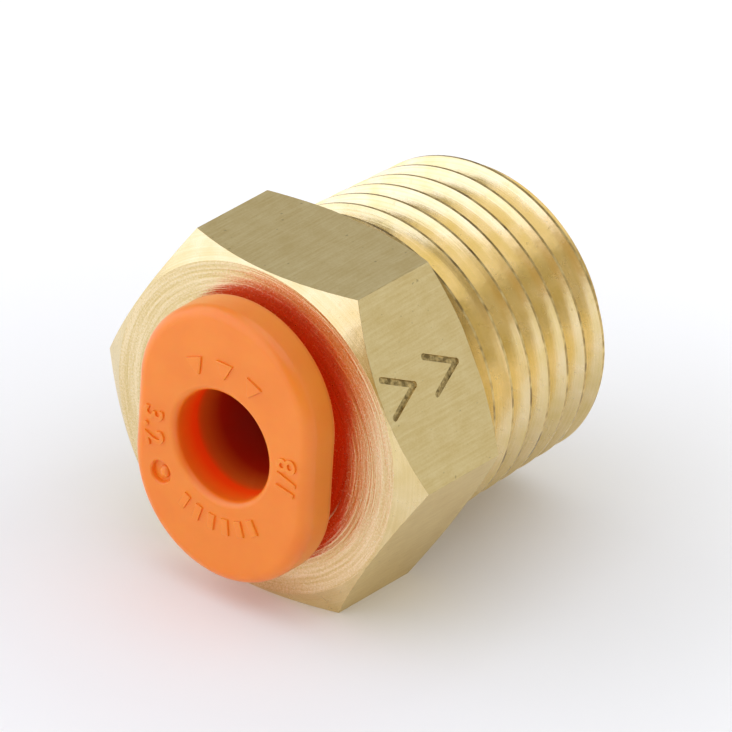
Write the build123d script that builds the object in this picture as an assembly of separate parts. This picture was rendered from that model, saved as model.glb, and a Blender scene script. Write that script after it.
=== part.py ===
from build123d import *
from math import radians, tan
import os

# Straight male connector for 3.2 mm (1/8 in) tube, in brass, with an oval
# release button. All sizes are in millimetres.
#
# The tube axis is Y. The origin is the centre of the hexagon's front face.
# The tube goes in from -Y, the pipe thread points to +Y, and the hexagon
# has a flat on top (+Z) and underneath. "Depth" is measured along +Y from
# the hexagon's front face.

# ---- driving dimensions ----------------------------------------------------
TUBE_D = 3.2                 # outside diameter of the tube it takes

HEX_ACROSS_FLATS = 11.11     # 7/16 in spanner
HEX_LENGTH = 4.43
FRONT_FACE_R = 5.50          # the turned front face ends here
FRONT_CHAMFER_DROP = 0.61    # how far each front corner is set back
BACK_FACE_R = 5.62
BACK_CHAMFER_ANGLE = 30

BODY_LENGTH = 11.45          # front face to thread end
THREAD_PITCH = 25.4 / 27     # 1/8-27 NPT
THREAD_TAPER = 1 / 32        # rise of the radius along the axis, 1 in 16 on diameter
THREAD_END_R = 5.05          # crest radius at the small end
THREAD_DEPTH = 0.70
THREAD_CREST_FLAT = 0.08
THREAD_END_CHAMFER = 0.50
THREAD_EXIT_R = 1.25         # flow passage at the thread end

GUIDE_POCKET_R = 3.60        # the guide ring is pressed in here
GUIDE_POCKET_DEPTH = 3.35
GRIP_POCKET_R = 3.30
GRIP_POCKET_DEPTH = 5.65
SEAL_POCKET_R = 2.90
SEAL_POCKET_DEPTH = 7.20
TUBE_STOP_DEPTH = 9.40
SOCKET_LEAD_IN = 0.30

TUBE_CLEARANCE = 0.05        # round the tube
BUTTON_FACE = 1.76           # how far the button's face stands out of the hexagon
BUTTON_GAP = 0.45            # under the button's head, at rest
BUTTON_WIDTH = 6.97
BUTTON_HEIGHT = 9.36
BUTTON_EDGE_R = 0.45
BUTTON_RIM_R = 0.22
BARREL_R = 2.15
BARREL_NOSE = 3.35           # depth of the barrel's nose
NOSE_CHAMFER = 0.28
BEAD_R = 2.42                # snap bead that keeps the button in
BEAD_FRONT = 1.45
BEAD_LENGTH = 0.55

LIP_CLEARANCE = 0.07         # guide ring round the barrel
LIP_FRONT = 0.15
LIP_BACK = 1.25
CONE_FRONT_R = 2.75          # conical seat that closes the collet
CONE_FRONT = 2.00
CONE_BACK_R = 3.05
CONE_BACK = 3.30

COLLET_FRONT = 2.20
COLLET_BACK = 4.90
COLLET_R = 3.22
COLLET_FINGER_R = 2.50       # inside the fingers
COLLET_SLOTS = 6
COLLET_SLOT_WIDTH = 0.30
CONE_CLEARANCE = 0.05

CHUCK_RIM_R = 2.47
CHUCK_RIM_FRONT = 3.02
CHUCK_RIM_BACK = 3.48
CHUCK_SHEET = 0.20
CHUCK_TIP_R = 1.52
CHUCK_TIP_DEPTH = 4.08
CHUCK_TEETH = 8
CHUCK_SLOT_WIDTH = 0.22

BACKUP_THICKNESS = 0.60
SEAL_LIP_R = 1.52            # a little smaller than the tube

TUBE_BORE_R = TUBE_D / 2 + TUBE_CLEARANCE


# ---- helpers ---------------------------------------------------------------
def turned(points):
    """A solid of revolution about the tube axis from (radius, depth) points."""
    outline = make_face(Polyline(*points, close=True))
    return revolve(outline, Axis.Y, 360)


def across(depth):
    """A sketch plane square to the tube axis, facing +Y, with +X to its right."""
    return Plane(origin=(0, depth, 0), x_dir=(1, 0, 0), z_dir=(0, 1, 0))


def radial_slots(count, width, r_out, front, back):
    """Thin blades through the axis that cut `count` slots into a ring."""
    blade = Pos(r_out / 2, (front + back) / 2, 0) * Box(r_out, back - front, width)
    return [Rot(0, i * 360 / count, 0) * blade for i in range(count)]


# ---- brass body ------------------------------------------------------------
def crest_r(depth):
    return THREAD_END_R + (BODY_LENGTH - depth) * THREAD_TAPER


def hexagon():
    """The spanner hexagon, with its corners turned off at both ends."""
    corner_r = HEX_ACROSS_FLATS / 2 / 0.8660254
    back_drop = (corner_r - BACK_FACE_R) * tan(radians(BACK_CHAMFER_ANGLE))
    outline = across(0) * RegularPolygon(HEX_ACROSS_FLATS / 2, 6, major_radius=False)
    corners_off = turned([
        (0, 0),
        (FRONT_FACE_R, 0),
        (corner_r, FRONT_CHAMFER_DROP),
        (corner_r, HEX_LENGTH - back_drop),
        (BACK_FACE_R, HEX_LENGTH),
        (0, HEX_LENGTH),
    ])
    return extrude(outline, HEX_LENGTH) & corners_off


def pipe_thread():
    """Tapered core with one helical ridge, trimmed by the thread's own outline."""
    run_out = THREAD_PITCH
    start = BODY_LENGTH + run_out
    root_start_r = crest_r(start) - THREAD_DEPTH
    path = Helix(THREAD_PITCH, start - HEX_LENGTH + 0.4 * THREAD_PITCH, root_start_r,
                 center=(0, start, 0), direction=(0, -1, 0),
                 cone_angle=1.7899)
    crest = THREAD_CREST_FLAT / 2
    foot = crest + THREAD_DEPTH * tan(radians(30))
    section_plane = Plane(path @ 0, x_dir=Vector((path @ 0).X, 0, (path @ 0).Z), z_dir=path % 0)
    section = section_plane * make_face(Polyline(
        (THREAD_DEPTH, -crest), (THREAD_DEPTH, crest), (0, foot),
        (-0.15, foot - 0.1), (-0.15, 0.1 - foot), (0, -foot), close=True))
    ridge = sweep(section, path=path, is_frenet=True)
    core = turned([
        (0, HEX_LENGTH - 0.6), (crest_r(HEX_LENGTH - 0.6) - THREAD_DEPTH, HEX_LENGTH - 0.6),
        (crest_r(BODY_LENGTH) - THREAD_DEPTH, BODY_LENGTH), (0, BODY_LENGTH)])
    outline = turned([
        (0, HEX_LENGTH - 0.6), (crest_r(HEX_LENGTH - 0.6) + 0.01, HEX_LENGTH - 0.6),
        (crest_r(BODY_LENGTH - THREAD_END_CHAMFER) + 0.01, BODY_LENGTH - THREAD_END_CHAMFER),
        (THREAD_END_R - THREAD_END_CHAMFER, BODY_LENGTH), (0, BODY_LENGTH)])
    return (core + ridge) & outline


def body_bores():
    """Everything that is bored out, from the mouth to the thread end."""
    return turned([
        (0, -1), (GUIDE_POCKET_R, -1), (GUIDE_POCKET_R, GUIDE_POCKET_DEPTH),
        (GRIP_POCKET_R, GUIDE_POCKET_DEPTH), (GRIP_POCKET_R, GRIP_POCKET_DEPTH),
        (SEAL_POCKET_R, GRIP_POCKET_DEPTH), (SEAL_POCKET_R, SEAL_POCKET_DEPTH),
        (TUBE_BORE_R + SOCKET_LEAD_IN, SEAL_POCKET_DEPTH),
        (TUBE_BORE_R, SEAL_POCKET_DEPTH + SOCKET_LEAD_IN),
        (TUBE_BORE_R, TUBE_STOP_DEPTH), (THREAD_EXIT_R, TUBE_STOP_DEPTH),
        (THREAD_EXIT_R, BODY_LENGTH + 1), (0, BODY_LENGTH + 1)])


def body():
    return (hexagon() + pipe_thread()) - body_bores()


# ---- release button --------------------------------------------------------
def release_button():
    """Oval acetal head on a thin barrel with a snap bead near its middle."""
    head_outline = across(-BUTTON_FACE) * Rot(0, 0, 90) * SlotOverall(BUTTON_HEIGHT, BUTTON_WIDTH)
    head = extrude(head_outline, BUTTON_FACE - BUTTON_GAP)
    head = fillet(head.edges().group_by(Axis.Y)[0], BUTTON_EDGE_R)
    barrel = turned([
        (0, -BUTTON_GAP - 0.2), (BARREL_R, -BUTTON_GAP - 0.2),
        (BARREL_R, BEAD_FRONT), (BEAD_R, BEAD_FRONT),
        (BEAD_R, BEAD_FRONT + BEAD_LENGTH / 3), (BARREL_R, BEAD_FRONT + BEAD_LENGTH),
        (BARREL_R, BARREL_NOSE - NOSE_CHAMFER), (BARREL_R - NOSE_CHAMFER, BARREL_NOSE),
        (0, BARREL_NOSE)])
    bore = turned([
        (0, -BUTTON_FACE - 1), (TUBE_BORE_R, -BUTTON_FACE - 1),
        (TUBE_BORE_R, BARREL_NOSE + 1), (0, BARREL_NOSE + 1)])
    button = head + barrel - bore
    rim = button.edges().filter_by(GeomType.CIRCLE).group_by(Axis.Y)[0]
    return fillet(rim, BUTTON_RIM_R)


# ---- rings inside ----------------------------------------------------------
def guide_ring():
    """Pressed into the mouth: its lip guides the button, its cone closes the collet."""
    lip_r = BARREL_R + LIP_CLEARANCE
    return turned([
        (lip_r, LIP_FRONT), (GUIDE_POCKET_R, LIP_FRONT), (GUIDE_POCKET_R, CONE_BACK),
        (CONE_BACK_R, CONE_BACK), (CONE_FRONT_R, CONE_FRONT), (CONE_FRONT_R, LIP_BACK),
        (lip_r, LIP_BACK)])


def collet():
    """Acetal sleeve with slit fingers that slide on the guide ring's cone."""
    slope = (CONE_BACK_R - CONE_FRONT_R) / (CONE_BACK - CONE_FRONT)
    tip_r = CONE_FRONT_R + (COLLET_FRONT - CONE_FRONT) * slope - CONE_CLEARANCE
    neck_r = CONE_BACK_R - CONE_CLEARANCE
    inner_step_r = COLLET_FINGER_R - 0.15
    floor = COLLET_BACK - 0.65
    sleeve = turned([
        (COLLET_FINGER_R, COLLET_FRONT), (tip_r, COLLET_FRONT), (neck_r, CONE_BACK),
        (neck_r, floor - 0.15), (COLLET_R, floor - 0.15), (COLLET_R, COLLET_BACK),
        (TUBE_BORE_R + 0.1, COLLET_BACK), (TUBE_BORE_R + 0.1, floor),
        (inner_step_r, floor), (inner_step_r, CHUCK_RIM_BACK + 0.02),
        (COLLET_FINGER_R, CHUCK_RIM_BACK + 0.02)])
    slots = radial_slots(COLLET_SLOTS, COLLET_SLOT_WIDTH, COLLET_R + 1,
                         COLLET_FRONT - 1, floor - 0.2)
    return sleeve - slots


def chuck():
    """Stamped stainless ring whose slanted teeth bite the tube."""
    ring = turned([
        (CHUCK_RIM_R - CHUCK_SHEET, CHUCK_RIM_FRONT), (CHUCK_RIM_R, CHUCK_RIM_FRONT),
        (CHUCK_RIM_R, CHUCK_RIM_BACK), (CHUCK_RIM_R - CHUCK_SHEET / 2, CHUCK_RIM_BACK + 0.02),
        (CHUCK_TIP_R + 0.08, CHUCK_TIP_DEPTH), (CHUCK_TIP_R, CHUCK_TIP_DEPTH - 0.10),
        (CHUCK_RIM_R - CHUCK_SHEET, CHUCK_RIM_BACK - CHUCK_SHEET)])
    slots = radial_slots(CHUCK_TEETH, CHUCK_SLOT_WIDTH, CHUCK_RIM_R - CHUCK_SHEET - 0.02,
                         CHUCK_RIM_FRONT - 1, CHUCK_TIP_DEPTH + 1)
    return ring - slots


def backup_ring():
    """Flat acetal ring that holds the seal in and centres the tube."""
    front = GRIP_POCKET_DEPTH - BACKUP_THICKNESS
    return turned([
        (TUBE_BORE_R + 0.05, front), (GRIP_POCKET_R, front),
        (GRIP_POCKET_R, GRIP_POCKET_DEPTH), (TUBE_BORE_R + 0.05, GRIP_POCKET_DEPTH)])


def tube_seal():
    """Rubber lip seal: a ring with a groove on the pressure side."""
    front = GRIP_POCKET_DEPTH + 0.02
    back = SEAL_POCKET_DEPTH - 0.05
    return turned([
        (TUBE_BORE_R + 0.10, front), (SEAL_POCKET_R, front), (SEAL_POCKET_R, back),
        (SEAL_POCKET_R - 0.35, back), (SEAL_POCKET_R - 0.55, back - 0.75),
        (TUBE_BORE_R + 0.45, back - 0.75), (SEAL_LIP_R + 0.25, back - 0.10),
        (SEAL_LIP_R, back - 0.25), (SEAL_LIP_R, back - 0.45),
        (TUBE_BORE_R + 0.10, back - 1.00)])


# ---- write one STEP file for each piece ------------------------------------
PIECES = {
    "body": body,
    "release_button": release_button,
    "guide_ring": guide_ring,
    "collet": collet,
    "chuck": chuck,
    "backup_ring": backup_ring,
    "tube_seal": tube_seal,
}

os.makedirs("parts", exist_ok=True)
for name, make in PIECES.items():
    export_step(make(), f"parts/{name}.step")
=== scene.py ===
import math
import bpy
from mathutils import Matrix, Vector


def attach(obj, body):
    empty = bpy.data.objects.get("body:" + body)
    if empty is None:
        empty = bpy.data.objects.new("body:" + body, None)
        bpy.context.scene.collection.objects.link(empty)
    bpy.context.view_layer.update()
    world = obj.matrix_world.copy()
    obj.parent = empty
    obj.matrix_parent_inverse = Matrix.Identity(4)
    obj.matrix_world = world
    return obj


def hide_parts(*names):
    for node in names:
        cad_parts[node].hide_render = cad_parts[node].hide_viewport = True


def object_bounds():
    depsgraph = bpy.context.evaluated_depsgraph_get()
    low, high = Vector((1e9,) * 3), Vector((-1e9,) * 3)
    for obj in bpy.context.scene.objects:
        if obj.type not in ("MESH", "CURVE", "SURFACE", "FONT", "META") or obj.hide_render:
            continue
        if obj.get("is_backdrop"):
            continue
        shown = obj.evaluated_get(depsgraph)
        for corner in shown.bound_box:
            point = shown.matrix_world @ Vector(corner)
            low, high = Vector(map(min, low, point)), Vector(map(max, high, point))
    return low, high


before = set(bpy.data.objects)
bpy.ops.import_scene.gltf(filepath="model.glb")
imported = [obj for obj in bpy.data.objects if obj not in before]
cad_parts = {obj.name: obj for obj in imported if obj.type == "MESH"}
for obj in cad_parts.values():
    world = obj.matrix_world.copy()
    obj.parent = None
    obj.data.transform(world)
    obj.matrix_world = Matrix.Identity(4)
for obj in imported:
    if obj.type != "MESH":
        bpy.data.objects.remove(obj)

cad_low, cad_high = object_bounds()

# ---- brass body: the blank -------------------------------------------------
# The body is turned from 7/16 in hexagonal brass bar: faced and chamfered at
# the mouth, threaded at the other end and bored right through. It is drawn in
# millimetres, with the tube axis on Y, and scaled to metres when it is done.
FLAT = 5.555                     # centre to hexagon flat
CORNER = FLAT / math.cos(math.radians(30))
HEX_LENGTH = 4.43
FACE_R = 5.50                    # turned front face
FACE_DROP = 0.61                 # set-back of the front corners
BACK_R = 5.62                    # turned face behind the hexagon
BACK_DROP = 0.46                 # set-back of the corners at the thread
OVERSIZE = 0.05                  # the round blank stands this far out of the corners
EDGE_BREAK = 0.04                # rounding of the hexagon's edges
BODY_LENGTH = 11.45
OUTWARD = [Vector((math.sin(i * math.pi / 3), 0, math.cos(i * math.pi / 3))) for i in range(6)]


def start_clean():
    """Nothing selected, so that an operator acts only on what is made next."""
    bpy.ops.object.select_all(action="DESELECT")


def pick(piece):
    start_clean()
    piece.select_set(True)
    bpy.context.view_layer.objects.active = piece


def edit(piece, kind="VERT", wanted=None):
    """Opens the piece in edit mode with all of it, or what `wanted` accepts, selected."""
    pick(piece)
    bpy.ops.object.mode_set(mode="EDIT")
    bpy.ops.mesh.select_mode(type=kind)
    bpy.ops.mesh.select_all(action="SELECT" if wanted is None else "DESELECT")
    if wanted is not None:
        bpy.ops.object.mode_set(mode="OBJECT")
        for part in piece.data.vertices if kind == "VERT" else piece.data.edges:
            part.select = wanted(part)
        bpy.ops.object.mode_set(mode="EDIT")


def close_edit():
    bpy.ops.object.mode_set(mode="OBJECT")


def outline_of(name, points, closed):
    """A flat outline through (radius, depth) points, as a ring or an open line."""
    start_clean()
    bpy.ops.mesh.primitive_circle_add(vertices=len(points), radius=1)
    piece = bpy.context.object
    piece.name = name
    for vertex, (radius, depth) in zip(piece.data.vertices, points):
        vertex.co = (radius, depth, 0)
    if not closed:
        ends = {0, len(points) - 1}
        edit(piece, "EDGE", lambda e: set(e.vertices) == ends)
        bpy.ops.mesh.delete(type="EDGE")
        close_edit()
    return piece


def turned(name, points, steps=192, closed=False, rounded=()):
    """Spins an outline about the tube axis. An open outline starts and ends on the axis.

    `rounded` lists corners to round first, each as (index, radius, segments)."""
    piece = outline_of(name, points, closed)
    for index, radius, segments in rounded:
        place = Vector((*points[index], 0))
        edit(piece, "VERT", lambda v: (v.co - place).length < 1e-5)
        bpy.ops.mesh.bevel(offset=radius, segments=segments, affect="VERTICES")
        close_edit()
    edit(piece)
    bpy.ops.mesh.spin(steps=steps, angle=math.tau, center=(0, 0, 0), axis=(0, 1, 0))
    bpy.ops.mesh.select_all(action="SELECT")
    bpy.ops.mesh.remove_doubles(threshold=1e-5)
    bpy.ops.mesh.normals_make_consistent(inside=False)
    close_edit()
    if not closed:                   # each flat end is one face, not a fan
        edit(piece, "VERT", lambda v: math.hypot(v.co.x, v.co.z) < 1e-4)
        bpy.ops.mesh.dissolve_verts()
        close_edit()
    return piece


def cut_off(piece, place, normal):
    """Cuts off what lies beyond a plane and closes the cut."""
    edit(piece)
    bpy.ops.mesh.bisect(plane_co=place, plane_no=normal, use_fill=True, clear_outer=True,
                        threshold=1e-5)
    close_edit()


def modify(piece, kind, **settings):
    pick(piece)
    modifier = piece.modifiers.new(kind.title(), kind)
    for key, value in settings.items():
        setattr(modifier, key, value)
    bpy.ops.object.modifier_apply(modifier=modifier.name)


def combine(piece, tool, operation):
    """Joins, trims or cuts the piece with another solid, which is used up."""
    modify(piece, "BOOLEAN", object=tool, operation=operation, solver="EXACT")
    bpy.data.objects.remove(tool)


def tidy_joins(piece, nearest=5e-4):
    """Merges the doubled corners and drops the empty slivers that the cuts leave."""
    edit(piece)
    bpy.ops.mesh.remove_doubles(threshold=nearest)
    bpy.ops.mesh.dissolve_degenerate(threshold=nearest)
    close_edit()


slope = FACE_DROP / (CORNER - FACE_R)
body = turned("brass_body", [
    (0, 0), (FACE_R, 0), (CORNER + OVERSIZE, FACE_DROP + OVERSIZE * slope),
    (CORNER + OVERSIZE, HEX_LENGTH - BACK_DROP), (BACK_R, HEX_LENGTH), (0, HEX_LENGTH)])
for outward in OUTWARD:
    cut_off(body, outward * FLAT, outward)
modify(body, "BEVEL", width=EDGE_BREAK, segments=2, limit_method="ANGLE",
       angle_limit=math.radians(25))

# ---- brass body: the taper thread ------------------------------------------
# A 1/8-27 pipe thread, cut with a single point tool on a 1 in 16 taper, with
# narrow flat crests and a 45 degree chamfer where it starts.
PITCH = 25.4 / 27
TAPER = 1 / 32                   # rise of the radius along the axis
END_R = 5.05                     # crest radius at the small end, before its chamfer
AXIS_R = END_R + BODY_LENGTH * TAPER         # the crest radius, carried on to the front face
THREAD_DEPTH = 0.72
CREST = 0.10                     # flat along the crest
ROOT = 0.05                      # flat along the root
END_CHAMFER = 0.50
TURNS = 10                       # more than enough, both ends are cut off
CREST_AT = 8.07                  # depth of one crest where it crosses +X
CLEAR = 6                        # beyond the largest crest

flank = (PITCH - CREST - ROOT) / 2
first = CREST_AT - CREST / 2 - flank - ROOT - TURNS // 2 * PITCH
root_r = AXIS_R - THREAD_DEPTH
thread = outline_of("thread", [
    (root_r, first), (root_r, first + ROOT),
    (AXIS_R, first + ROOT + flank), (AXIS_R, first + ROOT + flank + CREST),
    (root_r, first + PITCH)], closed=False)
modify(thread, "SCREW", axis="Y", angle=math.tau, screw_offset=PITCH, iterations=TURNS,
       steps=144, render_steps=144)
edit(thread)
bpy.ops.mesh.remove_doubles(threshold=1e-4)      # the turns meet along the root
bpy.ops.mesh.normals_make_consistent(inside=False)
close_edit()
depths = [v.co.y for v in thread.data.vertices]
modify(thread, "SIMPLE_DEFORM", deform_method="TAPER", deform_axis="Y",
       factor=-(max(depths) - min(depths)) * TAPER / AXIS_R)
cut_off(thread, (0, HEX_LENGTH - 0.5, 0), (0, -1, 0))        # starts inside the hexagon
cut_off(thread, (0, BODY_LENGTH, 0), (0, 1, 0))
chamfer = turned("chamfer", [
    (0, 2), (CLEAR, 2), (CLEAR, BODY_LENGTH - END_CHAMFER + END_R - CLEAR),
    (END_R - END_CHAMFER, BODY_LENGTH), (0, BODY_LENGTH)])
combine(thread, chamfer, "INTERSECT")
combine(body, thread, "UNION")

# ---- brass body: bores -----------------------------------------------------
# Bored in one setting from the mouth: a pocket for the guide ring, one for
# the collet, one for the seal, then the tube socket and the flow passage.
GUIDE_POCKET, COLLET_POCKET, SEAL_POCKET = 3.60, 3.30, 2.90
TUBE_BORE = 1.65
PASSAGE = 1.25
PASSAGE_MOUTH = 1.45
combine(body, turned("bore", [
    (0, -1), (GUIDE_POCKET + 0.08, -1), (GUIDE_POCKET + 0.08, 0), (GUIDE_POCKET, 0.08),
    (GUIDE_POCKET, 3.35), (COLLET_POCKET, 3.35), (COLLET_POCKET, 5.65),
    (SEAL_POCKET, 5.65), (SEAL_POCKET, 7.20), (1.95, 7.20), (TUBE_BORE, 7.50),
    (TUBE_BORE, 9.40), (PASSAGE, 9.40), (PASSAGE, BODY_LENGTH - 0.2),
    (PASSAGE_MOUTH, BODY_LENGTH), (PASSAGE_MOUTH, 13), (0, 13)], steps=96), "DIFFERENCE")

# ---- brass body: stamped marks ---------------------------------------------
# Two chevrons, punched by hand into the flat on the +X side, one after the
# other. The second blow was lighter, and its foot hardly shows.
STROKE = 0.30                    # width of a punched line
ALONG = Vector((0, 1, 0))        # along the flat, up it and out of it
UP = Vector((-0.5, 0, math.cos(math.radians(30))))
OUT = Vector((math.cos(math.radians(30)), 0, 0.5))


def punched_stroke(start, end, start_sunk, end_sunk):
    """A stroke between two (along, up) points of the flat, sunk by the two depths."""
    run = Vector(end) - Vector(start)
    length = run.length + STROKE
    start_clean()
    bpy.ops.mesh.primitive_cube_add(size=1, scale=(length, STROKE, 0.3))
    stroke = bpy.context.object
    edit(stroke, "EDGE", lambda e: abs(
        stroke.data.vertices[e.vertices[0]].co.z - stroke.data.vertices[e.vertices[1]].co.z) > 0.1)
    bpy.ops.mesh.bevel(offset=STROKE * 0.42, segments=5)
    close_edit()
    for vertex in stroke.data.vertices:
        if vertex.co.z < 0:
            share = vertex.co.x / length + 0.5
            vertex.co.x *= 1 - 0.1 / length
            vertex.co.y *= 0.6
            vertex.co.z = -(start_sunk + (end_sunk - start_sunk) * share)
    middle = (Vector(start) + Vector(end)) / 2
    place = Matrix((ALONG, UP, OUT)).transposed().to_4x4()
    place.translation = OUT * FLAT + ALONG * middle.x + UP * middle.y
    stroke.data.transform(place @ Matrix.Rotation(math.atan2(run.y, run.x), 4, "Z"))
    return stroke


CHEVRON_LENGTH = 1.25
for shift, sunk, foot in ((0.38, 0.055, 0.05), (2.42, 0.05, 0.004)):
    top, tip, low = (shift, 0.66), (shift + CHEVRON_LENGTH, 0.04), (shift, -0.58)
    combine(body, punched_stroke(top, tip, sunk, sunk), "DIFFERENCE")
    combine(body, punched_stroke(tip, low, sunk, foot), "DIFFERENCE")

# ---- brass body: finish ----------------------------------------------------
# Bare yellow brass. The flats keep the fine draw lines of the bar, the front
# face and the thread carry rings left by the cutter, the crests and edges are
# burred, and the punch marks are coloured dark.
class Wire:
    """A shader socket that can be used in sums: each operator adds its Math node."""

    def __init__(self, finish, socket):
        self.finish, self.socket = finish, socket

    def maths(self, operation, *values):
        settings = {"operation": operation}
        return self.finish.node("ShaderNodeMath", settings, dict(enumerate(values)))

    def __add__(self, other):
        return self.maths("ADD", self, other)

    def __sub__(self, other):
        return self.maths("SUBTRACT", self, other)

    def __rsub__(self, other):
        return self.maths("SUBTRACT", other, self)

    def __mul__(self, other):
        return self.maths("MULTIPLY", self, other)

    def __truediv__(self, other):
        return self.maths("DIVIDE", self, other)

    def __pow__(self, other):
        return self.maths("POWER", self, other)

    def between(self, low, high):
        """0 below `low`, 1 above `high` and a straight rise between them."""
        inputs = {"Value": self, "From Min": low, "From Max": high}
        return self.finish.node("ShaderNodeMapRange", {}, inputs)

    __radd__, __rmul__ = __add__, __mul__


class Shading:
    """A tree of shader nodes and the shader at its end."""

    def __init__(self, owner, shader):
        owner.use_nodes = True
        self.tree = owner.node_tree
        self.shader = self.tree.nodes[shader]

    def node(self, kind, settings, inputs, output=0):
        made = self.tree.nodes.new(kind)
        for key, value in settings.items():
            setattr(made, key, value)
        for key, value in inputs.items():
            if isinstance(value, Wire):
                self.tree.links.new(value.socket, made.inputs[key])
            else:
                made.inputs[key].default_value = value
        return Wire(self, made.outputs[output])

    def set(self, socket, wire):
        self.tree.links.new(wire.socket, self.shader.inputs[socket])

    def mixed(self, share, first, second):
        settings = {"data_type": "RGBA"}
        inputs = {"Factor": share, 6: first, 7: second}
        return self.node("ShaderNodeMix", settings, inputs, output=2)


class Finish(Shading):
    """A material on the Principled shader, whose constants are set on its own sockets."""

    def __init__(self, name, **constants):
        self.material = bpy.data.materials.new(name)
        super().__init__(self.material, "Principled BSDF")
        for socket, value in constants.items():
            self.shader.inputs[socket.replace("_", " ")].default_value = value
        place = self.node("ShaderNodeTexCoord", {}, {}, output="Object")
        self.millimetres = self.node("ShaderNodeVectorMath", {"operation": "SCALE"},
                                     {0: place, "Scale": 1000})

    def part(self, axis):
        """One of the three coordinates, in millimetres."""
        return self.node("ShaderNodeSeparateXYZ", {}, {0: self.millimetres}, output=axis)

    def noise(self, vector, scale=1.0, detail=2.0, roughness=0.5):
        inputs = {"Vector": vector, "Scale": scale, "Detail": detail, "Roughness": roughness}
        return self.node("ShaderNodeTexNoise", {}, inputs)

    def stretched(self, x, y, z, shift=0.0):
        """The place in millimetres, multiplied along each axis."""
        inputs = {0: self.millimetres, 1: (x, y, z), 2: (shift, shift, shift)}
        return self.node("ShaderNodeVectorMath", {"operation": "MULTIPLY_ADD"}, inputs)

    def rings(self, tightness, breaks):
        """A vector whose noise runs in rings round the tube axis, broken `breaks` ways."""
        x, z = self.part(0), self.part(2)
        radius = (x * x + z * z) ** 0.5
        return self.node("ShaderNodeCombineXYZ", {}, {
            0: radius * tightness, 1: x / radius * breaks, 2: z / radius * breaks})

    def raised(self, height, depth, then=None):
        """Bump from a height of 0 to 1, `depth` metres deep, on top of another bump."""
        inputs = {"Height": height, "Distance": depth, "Strength": 1.0}
        if then is not None:
            inputs["Normal"] = then
        return self.node("ShaderNodeBump", {}, inputs)


BRASS = (0.83, 0.67, 0.33, 1)
BRASS_DEEP = (0.72, 0.535, 0.215, 1)
BRASS_PALE = (0.93, 0.765, 0.48, 1)
THREAD_DEEP, THREAD_PALE = (0.82, 0.65, 0.29, 1), (0.93, 0.765, 0.46, 1)
# The chamfer colours are darker than the thread's as painted shade.
CHAMFER_SHADE_DEEP, CHAMFER_SHADE_PALE = (0.74, 0.57, 0.26, 1), (0.83, 0.67, 0.37, 1)
BURR = (0.47, 0.31, 0.10, 1)
TARNISH = (0.17, 0.105, 0.035, 1)
STAMP_DARK = (0.21, 0.145, 0.05, 1)


def drawn_brass():
    """The flats: drawn bar with faint fine lines along it, mottled and a little pitted."""
    finish = Finish("drawn_brass", Metallic=1.0)
    lines = finish.noise(finish.stretched(14, 0.7, 14), detail=5, roughness=0.62)
    cloud = finish.noise(finish.millimetres, 1.4, detail=5, roughness=0.6)
    grain = finish.noise(finish.millimetres, 17, detail=3)
    pits = finish.noise(finish.stretched(7, 5, 7, 3), detail=1).between(0.74, 0.79)
    shade = (lines * 0.45 + cloud * 0.30 + grain * 0.25).between(0.38, 0.62)
    metal = finish.mixed(shade, BRASS_DEEP, BRASS)
    finish.set("Base Color", finish.mixed(pits * 0.4, metal, TARNISH))
    finish.set("Roughness", 0.30 + grain * 0.10 + cloud * 0.08)
    bump = finish.raised(lines * 0.7 + cloud * 0.3, 7e-6)
    finish.set("Normal", finish.raised(grain - pits, 3e-6, bump))
    return finish.material


def faced_brass():
    """The front face: dense cutter rings that break up along their length."""
    finish = Finish("faced_brass", Metallic=1.0)
    fine = finish.noise(finish.rings(9.0, 1.6), detail=4, roughness=0.65)
    broad = finish.noise(finish.rings(2.2, 0.8), detail=2)
    grain = finish.noise(finish.millimetres, 14, detail=3)
    shade = (fine * 0.6 + grain * 0.4).between(0.38, 0.60)
    finish.set("Base Color", finish.mixed(shade, BRASS_DEEP, BRASS_PALE))
    finish.set("Roughness", 0.17 + grain * 0.16)
    bump = finish.raised(fine * 0.7 + broad * 0.3, 2.4e-5)
    finish.set("Normal", finish.raised(grain, 4e-6, bump))
    return finish.material


def cut_brass():
    """The thread's flanks, and the chamfers painted a little darker as painted shade: faint rings
    and soft stains.
    """
    finish = Finish("cut_brass", Metallic=1.0)
    fine = finish.noise(finish.rings(24.0, 1.2), detail=2)
    cloud = finish.noise(finish.millimetres, 1.3, detail=3)
    stain = finish.noise(finish.millimetres, 4.5, detail=4, roughness=0.6).between(0.60, 0.78)
    shade = (fine * 0.4 + cloud * 0.6).between(0.35, 0.65)
    on_thread = finish.part(1).between(HEX_LENGTH, HEX_LENGTH + 0.01)
    # Painted shade: the hexagon's chamfers take the darker colours.
    metal = finish.mixed(shade, finish.mixed(on_thread, CHAMFER_SHADE_DEEP, THREAD_DEEP),
                         finish.mixed(on_thread, CHAMFER_SHADE_PALE, THREAD_PALE))
    finish.set("Base Color", finish.mixed(stain * 0.35, metal, BRASS_DEEP))
    finish.set("Roughness", 0.19 + cloud * 0.12 + stain * 0.10)
    bump = finish.raised(fine, 2e-6)
    finish.set("Normal", finish.raised(cloud, 1.4e-5, bump))
    return finish.material


def crest_brass():
    """Crests and sharp edges: burred in cutting and in use, dark and bright by turns."""
    finish = Finish("crest_brass", Metallic=1.0)
    burr = finish.noise(finish.millimetres, 3.2, detail=4, roughness=0.6)
    nick = finish.noise(finish.millimetres, 1.3, detail=2).between(0.55, 0.66)
    on_thread = finish.part(1).between(HEX_LENGTH, HEX_LENGTH + 0.2)
    bright = finish.mixed(on_thread, BRASS, BRASS_DEEP)
    metal = finish.mixed(burr.between(0.40, 0.62), BURR, bright)
    finish.set("Base Color", finish.mixed(nick * (0.45 + on_thread * 0.25), metal, TARNISH))
    finish.set("Roughness", 0.24 + burr * 0.16)
    finish.set("Normal", finish.raised(burr, 1.2e-5))
    return finish.material


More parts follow.
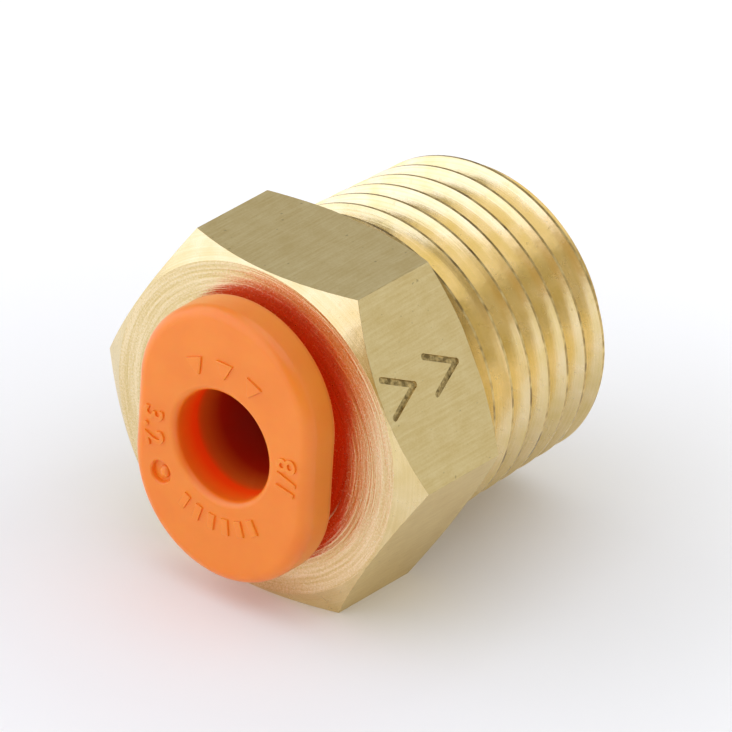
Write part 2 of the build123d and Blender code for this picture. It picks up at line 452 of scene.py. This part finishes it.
def stamped_brass():
    """Inside the punch marks: crushed metal, coloured dark in a mottle."""
    finish = Finish("stamped_brass", Metallic=1.0)
    stamp_mottle = finish.noise(finish.millimetres, 5, detail=4, roughness=0.65)
    # The punch marks are coloured dark in a mottle.
    finish.set("Base Color", finish.mixed(stamp_mottle.between(0.40, 0.66), STAMP_DARK, BRASS_DEEP))
    finish.set("Roughness", 0.42 + stamp_mottle * 0.15)
    finish.set("Normal", finish.raised(stamp_mottle, 1.2e-5))
    return finish.material


def to_metres(piece):
    """Scales a piece drawn in millimetres and leaves its object unscaled at the origin."""
    pick(piece)
    piece.scale = (0.001, 0.001, 0.001)
    bpy.ops.object.transform_apply(location=True, rotation=True, scale=True)


def smooth(piece):
    """Rounded stretches shade smooth, and flat faces stay truly flat beside them."""
    pick(piece)
    bpy.ops.object.shade_smooth_by_angle(angle=math.radians(28))
    modify(piece, "WEIGHTED_NORMAL", mode="FACE_AREA", weight=50, keep_sharp=True)


tidy_joins(body)
for material in (cut_brass(), drawn_brass(), faced_brass(), stamped_brass(), crest_brass()):
    body.data.materials.append(material)
DRAWN, FACED, STAMPED, CREST_OR_EDGE = 1, 2, 3, 4        # what is left over is cut brass
for face in body.data.polygons:
    centre, normal = face.center, face.normal
    radius = math.hypot(centre.x, centre.z)
    reach = max(centre.dot(outward) for outward in OUTWARD)
    square = max(normal.dot(outward) for outward in OUTWARD)
    on_hexagon = centre.y < HEX_LENGTH
    in_marks = 0.2 < centre.y < 4 and abs(centre.dot(UP)) < 0.95 and normal.dot(OUT) > 0.3
    if on_hexagon and reach > FLAT - 1e-3 and square > 0.999:
        face.material_index = DRAWN
    elif centre.y < 0.01 and normal.y < -0.9:
        face.material_index = FACED
    elif in_marks and 1e-3 < FLAT - centre.dot(OUT) < 0.07:
        face.material_index = STAMPED
    elif on_hexagon and radius > FACE_R - 0.01 and abs(normal.y) < 0.78:
        face.material_index = CREST_OR_EDGE
    elif centre.y > HEX_LENGTH and abs(normal.y) < 0.2 and radius > END_R - END_CHAMFER:
        face.material_index = CREST_OR_EDGE
smooth(body)
to_metres(body)
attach(body, "fitting")
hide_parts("body")

# ---- guide ring ------------------------------------------------------------
# A turned brass ring pressed into the mouth. Its lip guides the button, and
# the cone behind the lip closes the sleeve's fingers on the tube.
LIP_R = 2.22
guide = turned("mouth_ring", [
    (LIP_R, 0.15), (GUIDE_POCKET, 0.15), (GUIDE_POCKET, 3.30), (3.05, 3.30), (2.75, 2.00),
    (2.75, 1.25), (LIP_R, 1.25)], steps=128, closed=True,
    rounded=[(0, 0.10, 3), (1, 0.08, 3), (2, 0.08, 3), (3, 0.05, 2), (6, 0.06, 3)])
guide.data.materials.append(bpy.data.materials["faced_brass"])
smooth(guide)
to_metres(guide)
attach(guide, "fitting")
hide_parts("guide_ring")

# ---- tube seal -------------------------------------------------------------
# A moulded nitrile rubber ring. Pressure from the thread's side opens the
# groove at its back, which pushes the inner lip onto the tube.
SEAL_LIP = 1.52                  # a little smaller than the tube
RUBBER_DARK, RUBBER_WORN = (0.012, 0.012, 0.013, 1), (0.030, 0.029, 0.028, 1)
seal = turned("lip_seal", [
    (1.75, 5.67), (SEAL_POCKET, 5.67), (SEAL_POCKET, 7.15), (2.55, 7.15), (2.35, 6.40),
    (2.10, 6.40), (1.77, 7.05), (SEAL_LIP, 6.90), (SEAL_LIP, 6.70), (1.75, 6.15)],
    steps=96, closed=True,
    rounded=[(0, 0.10, 3), (1, 0.10, 3), (2, 0.12, 3), (3, 0.10, 3), (4, 0.08, 3),
             (5, 0.08, 3), (6, 0.09, 3), (7, 0.06, 2), (8, 0.06, 2)])


def seal_rubber():
    """Black nitrile, dull and faintly mottled by the mould, with a trace of grease."""
    finish = Finish("seal_rubber", Roughness=0.6)
    mottle = finish.noise(finish.millimetres, 3.5, detail=4)
    grain = finish.noise(finish.millimetres, 30, detail=2)
    finish.set("Base Color", finish.mixed(mottle, RUBBER_DARK, RUBBER_WORN))
    finish.set("Roughness", 0.75 - mottle.between(0.45, 0.65) * 0.35)
    finish.set("Normal", finish.raised(grain, 3e-6))
    return finish.material


seal.data.materials.append(seal_rubber())
smooth(seal)
to_metres(seal)
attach(seal, "fitting")
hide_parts("tube_seal")

# ---- backup ring -----------------------------------------------------------
# A flat white acetal washer, turned from rod, that keeps the seal in its
# pocket and centres the tube.
WASHER_BORE = 1.70
WASHER_FRONT, WASHER_BACK = 5.05, 5.65
spacer = turned("seal_washer", [
    (WASHER_BORE, WASHER_FRONT), (COLLET_POCKET, WASHER_FRONT), (COLLET_POCKET, WASHER_BACK),
    (WASHER_BORE, WASHER_BACK)], steps=96, closed=True,
    rounded=[(0, 0.12, 4), (1, 0.06, 3), (2, 0.06, 3), (3, 0.12, 4)])


def acetal(name, dark, light):
    """Turned or moulded acetal: waxy, with light rings and a little cloudiness."""
    finish = Finish(name, Roughness=0.4, Subsurface_Weight=0.15, Subsurface_Scale=0.0005,
                    Subsurface_Radius=(1.0, 0.9, 0.8))
    cloud = finish.noise(finish.millimetres, 1.2, detail=3)
    rings = finish.noise(finish.rings(14.0, 0.8), detail=2)
    finish.set("Base Color", finish.mixed(cloud, dark, light))
    finish.set("Roughness", 0.34 + rings * 0.16)
    finish.set("Normal", finish.raised(rings, 4e-6))
    return finish.material


WHITE_DULL, WHITE_CLEAN = (0.74, 0.74, 0.71, 1), (0.82, 0.82, 0.80, 1)
spacer.data.materials.append(acetal("white_acetal", WHITE_DULL, WHITE_CLEAN))
smooth(spacer)
to_metres(spacer)
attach(spacer, "fitting")
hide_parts("backup_ring")

# ---- collet ----------------------------------------------------------------
# A moulded natural acetal sleeve, slit into six fingers that the guide ring's
# cone squeezes together when the tube is pulled.
sleeve = turned("slit_sleeve", [
    (2.50, 2.20), (2.74, 2.20), (3.00, 3.30), (3.00, 4.10), (3.22, 4.10), (3.22, 4.90),
    (1.75, 4.90), (1.75, 4.25), (2.35, 4.25), (2.35, 3.50), (2.50, 3.50)],
    steps=144, closed=True,
    rounded=[(0, 0.06, 2), (1, 0.07, 3), (4, 0.06, 2), (5, 0.08, 3), (6, 0.10, 3), (7, 0.06, 2)])


def slit(piece, count, width, reach, front, back):
    """Cuts slots through the wall out to a radius, evenly round the tube axis."""
    for i in range(count):
        start_clean()
        bpy.ops.mesh.primitive_cube_add(size=1, scale=(reach, back - front, width))
        cutter = bpy.context.object
        cutter.data.transform(Matrix.Rotation(i * math.tau / count, 4, "Y")
                              @ Matrix.Translation((reach / 2, (front + back) / 2, 0)))
        combine(piece, cutter, "DIFFERENCE")


slit(sleeve, count=6, width=0.30, reach=4.2, front=1.2, back=4.05)
CREAM_DARK, CREAM_LIGHT = (0.70, 0.66, 0.56, 1), (0.80, 0.77, 0.68, 1)
sleeve.data.materials.append(acetal("natural_acetal", CREAM_DARK, CREAM_LIGHT))
smooth(sleeve)
to_metres(sleeve)
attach(sleeve, "grip")
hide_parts("collet")

# ---- chuck -----------------------------------------------------------------
# Eight slanted teeth in one ring, stamped from thin spring stainless steel
# and snapped inside the sleeve. Their tips bite the tube.
teeth = turned("bite_ring", [
    (2.27, 3.02), (2.47, 3.02), (2.47, 3.48), (2.37, 3.50), (1.60, 4.08), (1.52, 3.98),
    (2.27, 3.28)], steps=128, closed=True, rounded=[(0, 0.04, 2), (1, 0.04, 2)])
slit(teeth, count=8, width=0.22, reach=2.25, front=2.0, back=5.08)   # the ring stays whole
STEEL_DARK, STEEL_BRIGHT = (0.52, 0.51, 0.50, 1), (0.68, 0.67, 0.65, 1)


def spring_steel():
    """Stamped stainless sheet: fine rolling lines and soft smears of tone."""
    finish = Finish("spring_steel", Metallic=1.0)
    lines = finish.noise(finish.stretched(30, 2, 4), detail=3)
    smear = finish.noise(finish.millimetres, 2.5, detail=3)
    finish.set("Base Color", finish.mixed(smear, STEEL_DARK, STEEL_BRIGHT))
    finish.set("Roughness", 0.22 + lines * 0.14)
    finish.set("Normal", finish.raised(lines, 2e-6))
    return finish.material


teeth.data.materials.append(spring_steel())
smooth(teeth)
to_metres(teeth)
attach(teeth, "grip")
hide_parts("chuck")

# ---- release button --------------------------------------------------------
# Moulded in one shot from orange acetal: an oval head, a thin barrel that
# runs inside the guide ring, a snap bead that keeps it in, and a nose that
# reaches the chuck's teeth when the head is pressed.
HEAD_R = 3.485                   # the round ends of the oval
STRAIGHT = 1.195                 # half the straight part between them
HEAD_FRONT = -1.69               # the raised marks reach a little further
HEAD_BACK = -0.45
EDGE_R = 0.42                    # rounding of the front edge
BACK_EDGE_R = 0.07
MOUTH_R = 1.84                   # the bore is wider at the mouth, to lead the tube in
RIM_R = 0.24
LEAD_IN = (-0.55, 0.10)          # where the bore narrows
BARREL_R = 2.15
BEAD_R = 2.42
NOSE = 3.21                      # depth of the nose
NOSE_CHAMFER = 0.28
SIDES = 160

start_clean()
bpy.ops.mesh.primitive_cylinder_add(vertices=SIDES, radius=HEAD_R, depth=HEAD_BACK - HEAD_FRONT,
                                    location=(0, (HEAD_FRONT + HEAD_BACK) / 2, 0),
                                    rotation=(math.pi / 2, math.pi / SIDES, 0))
bpy.ops.object.transform_apply(location=True, rotation=True, scale=True)
button = bpy.context.object
button.name = "oval_button"
for side in (1, -1):
    edit(button, "VERT", lambda v: v.co.z * side > 0)
    bpy.ops.transform.translate(value=(0, 0, side * STRAIGHT))
    close_edit()


def all_verts(mesh, edge, accepts):
    return all(accepts(mesh.vertices[i].co) for i in edge.vertices)


edit(button, "EDGE", lambda e: all_verts(button.data, e, lambda co: co.y < HEAD_FRONT + 1e-4))
bpy.ops.mesh.bevel(offset=EDGE_R, segments=10)
close_edit()
edit(button, "EDGE", lambda e: all_verts(button.data, e, lambda co: co.y > HEAD_BACK - 1e-4))
bpy.ops.mesh.bevel(offset=BACK_EDGE_R, segments=3)
close_edit()
combine(button, turned("barrel", [
    (0, HEAD_BACK - 0.3), (BARREL_R, HEAD_BACK - 0.3), (BARREL_R, 1.45), (BEAD_R, 1.45),
    (BEAD_R, 1.63), (BARREL_R, 2.00), (BARREL_R, NOSE - NOSE_CHAMFER),
    (BARREL_R - NOSE_CHAMFER, NOSE), (0, NOSE)], steps=128), "UNION")
combine(button, turned("button_bore", [
    (0, -3), (MOUTH_R, -3), (MOUTH_R, LEAD_IN[0]), (TUBE_BORE, LEAD_IN[1]), (TUBE_BORE, 5),
    (0, 5)], steps=128), "DIFFERENCE")
edit(button, "EDGE", lambda e: all_verts(
    button.data, e, lambda co: abs(math.hypot(co.x, co.z) - MOUTH_R) < 1e-3
    and co.y < HEAD_FRONT + 1e-3))
bpy.ops.mesh.bevel(offset=RIM_R, segments=7)
close_edit()

# The gate: a shallow round pit with the sheared stub of the runner in it.
GATE_X, GATE_Z = -2.30, -1.82
GATE_R = 0.38
GATE_FLOOR = HEAD_FRONT + 0.17
pit = turned("pit", [(0, -2), (GATE_R + 0.04, -2), (GATE_R + 0.04, HEAD_FRONT),
                     (GATE_R, HEAD_FRONT + 0.04), (GATE_R - 0.03, GATE_FLOOR),
                     (0, GATE_FLOOR)], steps=40)
pit.data.transform(Matrix.Translation((GATE_X, 0, GATE_Z)))
combine(button, pit, "DIFFERENCE")
start_clean()
bpy.ops.mesh.primitive_uv_sphere_add(segments=24, ring_count=12, radius=0.19,
                                     location=(GATE_X + 0.10, GATE_FLOOR - 0.04, GATE_Z + 0.03),
                                     scale=(1.0, 0.75, 1.15))
bpy.ops.object.transform_apply(location=True, rotation=True, scale=True)
combine(button, bpy.context.object, "UNION")

# Raised marks round the bore: the tube and thread sizes, a row of arrows that
# says which way to press, and a row of dashes. Their tops point at the bore.
MARK_RING = 2.70                 # radius through the middle of the marks
MARK_HIGH = 0.07
MARK_SUNK = 0.05                 # their feet run on into the head
MARK_THICK = MARK_SUNK + MARK_HIGH
NUMERAL_SIZE = 1.02
NUMERAL_EDGE = 0.02


def set_on_face(mark, angle):
    """Stands a mark drawn on the XY plane on the button's face, its top to the bore."""
    inward = Vector((-math.cos(angle), 0, -math.sin(angle)))
    right = Vector((inward.z, 0, -inward.x))
    place = Matrix((right, inward, Vector((0, -1, 0)))).transposed().to_4x4()
    place.translation = -inward * MARK_RING + Vector((0, HEAD_FRONT + MARK_SUNK, 0))
    mark.data.transform(place)
    return mark


def numeral(text):
    start_clean()
    bpy.ops.object.text_add()
    mark = bpy.context.object
    mark.data.body = text
    mark.data.size = NUMERAL_SIZE
    mark.data.bevel_depth = NUMERAL_EDGE
    mark.data.bevel_resolution = 2
    mark.data.align_x = "CENTER"
    mark.data.align_y = "CENTER"
    mark.data.resolution_u = 4
    mark.data.extrude = MARK_THICK / 2 - NUMERAL_EDGE
    bpy.ops.object.convert(target="MESH")
    mark.data.transform(Matrix.Translation((0, 0, MARK_THICK / 2)))
    edit(mark)
    bpy.ops.mesh.remove_doubles(threshold=1e-5)
    bpy.ops.mesh.normals_make_consistent(inside=False)
    close_edit()
    return mark


def bar(width, height, narrow):
    """A raised dash, or an arrow head where `narrow` draws its top in."""
    start_clean()
    bpy.ops.mesh.primitive_cube_add(size=1, scale=(width, height, MARK_THICK))
    mark = bpy.context.object
    mark.data.transform(Matrix.Translation((0, 0, MARK_THICK / 2)))
    for vertex in mark.data.vertices:
        if vertex.co.y > 0:
            vertex.co.x *= narrow
    edit(mark, "EDGE", lambda e: all_verts(mark.data, e, lambda co: co.z > MARK_SUNK))
    bpy.ops.mesh.bevel(offset=0.035, segments=4)
    close_edit()
    return mark


marks = [(numeral("3"), 177), (numeral("."), 186), (numeral("2"), 195),
         (numeral("1"), -10), (numeral("/"), -1), (numeral("8"), 9)]
marks += [(bar(0.66, 0.56, 0.15), angle) for angle in (66, 90, 114)]
marks += [(bar(0.26, 0.54, 1.0), angle) for angle in (-118, -106, -94, -82, -70, -58)]
for mark, angle in marks:
    combine(button, set_on_face(mark, math.radians(angle)), "UNION")
tidy_joins(button)

ORANGE, ORANGE_PALE = (0.88, 0.225, 0.012, 1), (0.92, 0.265, 0.018, 1)
# The deeper red inside the bore is painted shade.
BORE_PAINTED_SHADE = (0.86, 0.080, 0.002, 1)
# The amber band where the bore narrows is a painted lighter band.
LEAD_IN_PAINTED_LIGHT = (0.66, 0.125, 0.010, 1)
# The dark red on the barrel under the head is painted shade.
BARREL_PAINTED_SHADE = (0.50, 0.022, 0.001, 1)
# The red emission is a painted glow, not a lamp.
NO_GLOW, PAINTED_GLOW_RED = (0, 0, 0, 1), (0.20, 0.004, 0.0, 1)


def orange_acetal():
    """Moulded acetal with a satin skin. It is translucent, and its colour carries painted light:
    painted shade deepens the red in the bore and along the barrel under the head, a lighter
    painted band marks the lead-in, and a painted red glow sits just inside the mouth and behind
    the head."""
    finish = Finish("orange_acetal", Roughness=0.35, IOR=1.5, Subsurface_Weight=0.5,
                    Subsurface_Scale=0.0008, Subsurface_Radius=(1.0, 0.22, 0.03),
                    Emission_Strength=1.0)
    cloud = finish.noise(finish.millimetres, 0.6, detail=3)
    spark = finish.noise(finish.millimetres, 26, detail=2)
    skin = finish.mixed(cloud.between(0.3, 0.7), ORANGE, ORANGE_PALE)
    depth, x, z = finish.part(1), finish.part(0), finish.part(2)
    outside = (x * x + z * z).between(MOUTH_R ** 2, (MOUTH_R + RIM_R) ** 2)
    inside = (1 - outside) * depth.between(HEAD_FRONT, HEAD_FRONT + 0.9)
    # Painted shade: a deeper red inside the bore.
    wall = finish.mixed(inside, skin, BORE_PAINTED_SHADE)
    # Painted light: a lighter amber band where the bore narrows.
    wall = finish.mixed(depth.between(LEAD_IN[0] - 0.07, LEAD_IN[0] + 0.10), wall, LEAD_IN_PAINTED_LIGHT)
    # Painted shade: dark red along the barrel under the head.
    barrel_shade = depth.between(-0.25, 0.35)
    finish.set("Base Color", finish.mixed(barrel_shade, wall, BARREL_PAINTED_SHADE))
    # Painted glow: red emission just inside the mouth and behind the head.
    in_bore = inside * (1 - depth.between(-0.75, -0.30))
    behind = outside * depth.between(HEAD_BACK - 0.12, HEAD_BACK)
    finish.set("Emission Color", finish.mixed(in_bore + behind, NO_GLOW, PAINTED_GLOW_RED))
    finish.set("Roughness", 0.23 + spark * 0.12 + cloud * 0.06)
    finish.set("Normal", finish.raised(spark, 2.5e-6))
    return finish.material


button.data.materials.append(orange_acetal())
smooth(button)
to_metres(button)
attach(button, "button")
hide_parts("release_button")

# ---- floor, lights and camera ----------------------------------------------
# White paper under soft boxes in a grey room, with a round tan card in front.
# The camera is far off with a long lens, and the fitting lies on a hexagon flat.
PAPER = (0.91, 0.87, 0.77, 1)
PAPER_SHADED, PAPER_LIT = (0.30, 0.29, 0.27, 1), (1, 0.99, 0.97, 1)
WALL_GREY = (0.345, 0.352, 0.36, 1)
CARD_TAN = (0.50, 0.335, 0.095, 1)
CARD_AT = Vector((0.20, -0.97, 0.05)).normalized()
CARD_FADES, CARD_FULL = math.radians(30), math.radians(17)   # angles from its middle

start_clean()
bpy.ops.mesh.primitive_plane_add(size=6, location=(0, 0, cad_low.z))
floor = bpy.context.object
floor.name = "floor"
paper = Finish("white_paper", Roughness=0.9, Base_Color=PAPER, Emission_Strength=0.27)
# The paper's glow is painted light: dim near the fitting as a painted contact shadow, and bright
# further out.
from_middle = paper.node("ShaderNodeVectorMath", {"operation": "LENGTH"},
                         {0: paper.millimetres}, output="Value")
paper.set("Emission Color", paper.mixed(from_middle.between(8, 26), PAPER_SHADED, PAPER_LIT))
floor.data.materials.append(paper.material)
floor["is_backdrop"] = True

studio = bpy.data.worlds.new("studio")
bpy.context.scene.world = studio
room = Shading(studio, "Background")
around = room.node("ShaderNodeTexCoord", {}, {}, output="Generated")
facing = room.node("ShaderNodeVectorMath", {"operation": "DOT_PRODUCT"},
                   {0: around, 1: CARD_AT}, output="Value")
on_card = facing.between(math.cos(CARD_FADES), math.cos(CARD_FULL))
room.set("Color", room.mixed(on_card, WALL_GREY, CARD_TAN))


def soft_box(name, direction, distance, width, height, radiance, colour):
    """A rectangular area light, sized in metres, that faces the fitting from a direction."""
    light = bpy.data.lights.new(name, "AREA")
    light.shape = "RECTANGLE"
    light.size, light.size_y = width, height
    light.energy = radiance * math.pi * width * height
    light.color = colour
    lamp = bpy.data.objects.new(name, light)
    bpy.context.scene.collection.objects.link(lamp)
    away = Vector(direction).normalized()
    lamp.location = away * distance
    lamp.rotation_euler = away.to_track_quat("Z", "Y").to_euler()


DAYLIGHT = (1.0, 1.10, 1.45)
WHITE = (0.96, 0.98, 1.04)
soft_box("front_box", (-0.62, -0.66, 0.42), 0.30, 0.66, 0.36, 1.05, DAYLIGHT)
soft_box("top_box", (0.15, 0.0, 1.0), 0.40, 0.52, 0.52, 0.85, DAYLIGHT)
soft_box("back_box", (-0.53, 0.69, 0.49), 0.40, 0.40, 0.30, 0.16, WHITE)
soft_box("right_box", (0.75, 0.62, 0.28), 0.40, 0.44, 0.34, 0.38, WHITE)

AZIMUTH, ELEVATION, ROLL = math.radians(37.6), math.radians(29.64), math.radians(3.57)
DISTANCE = 0.386
VIEW_WIDTH = 0.0225682           # what the lens takes in at that distance
SENSOR = 36
AIM = Vector((0, 0.00064, 0))
OFFSET_RIGHT, OFFSET_UP = 3.0007e-3, 1.6811e-3      # sideways shift, which centres the view

back = Vector((math.sin(AZIMUTH) * math.cos(ELEVATION), -math.cos(AZIMUTH) * math.cos(ELEVATION),
               math.sin(ELEVATION)))
level = Vector((math.cos(AZIMUTH), math.sin(AZIMUTH), 0))
plumb = back.cross(level)
right = level * math.cos(ROLL) + plumb * math.sin(ROLL)
up = plumb * math.cos(ROLL) - level * math.sin(ROLL)
lens = bpy.data.cameras.new("camera")
lens.sensor_width = SENSOR
lens.lens = SENSOR * DISTANCE / VIEW_WIDTH
lens.clip_start, lens.clip_end = 0.01, 10
camera = bpy.data.objects.new("camera", lens)
camera.matrix_world = Matrix((right, up, back)).transposed().to_4x4()
camera.location = AIM + back * DISTANCE + right * OFFSET_RIGHT + up * OFFSET_UP
bpy.context.scene.collection.objects.link(camera)
bpy.context.scene.camera = camera
bpy.context.scene.view_settings.view_transform = "Standard"

# ---- size ------------------------------------------------------------------
low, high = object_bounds()
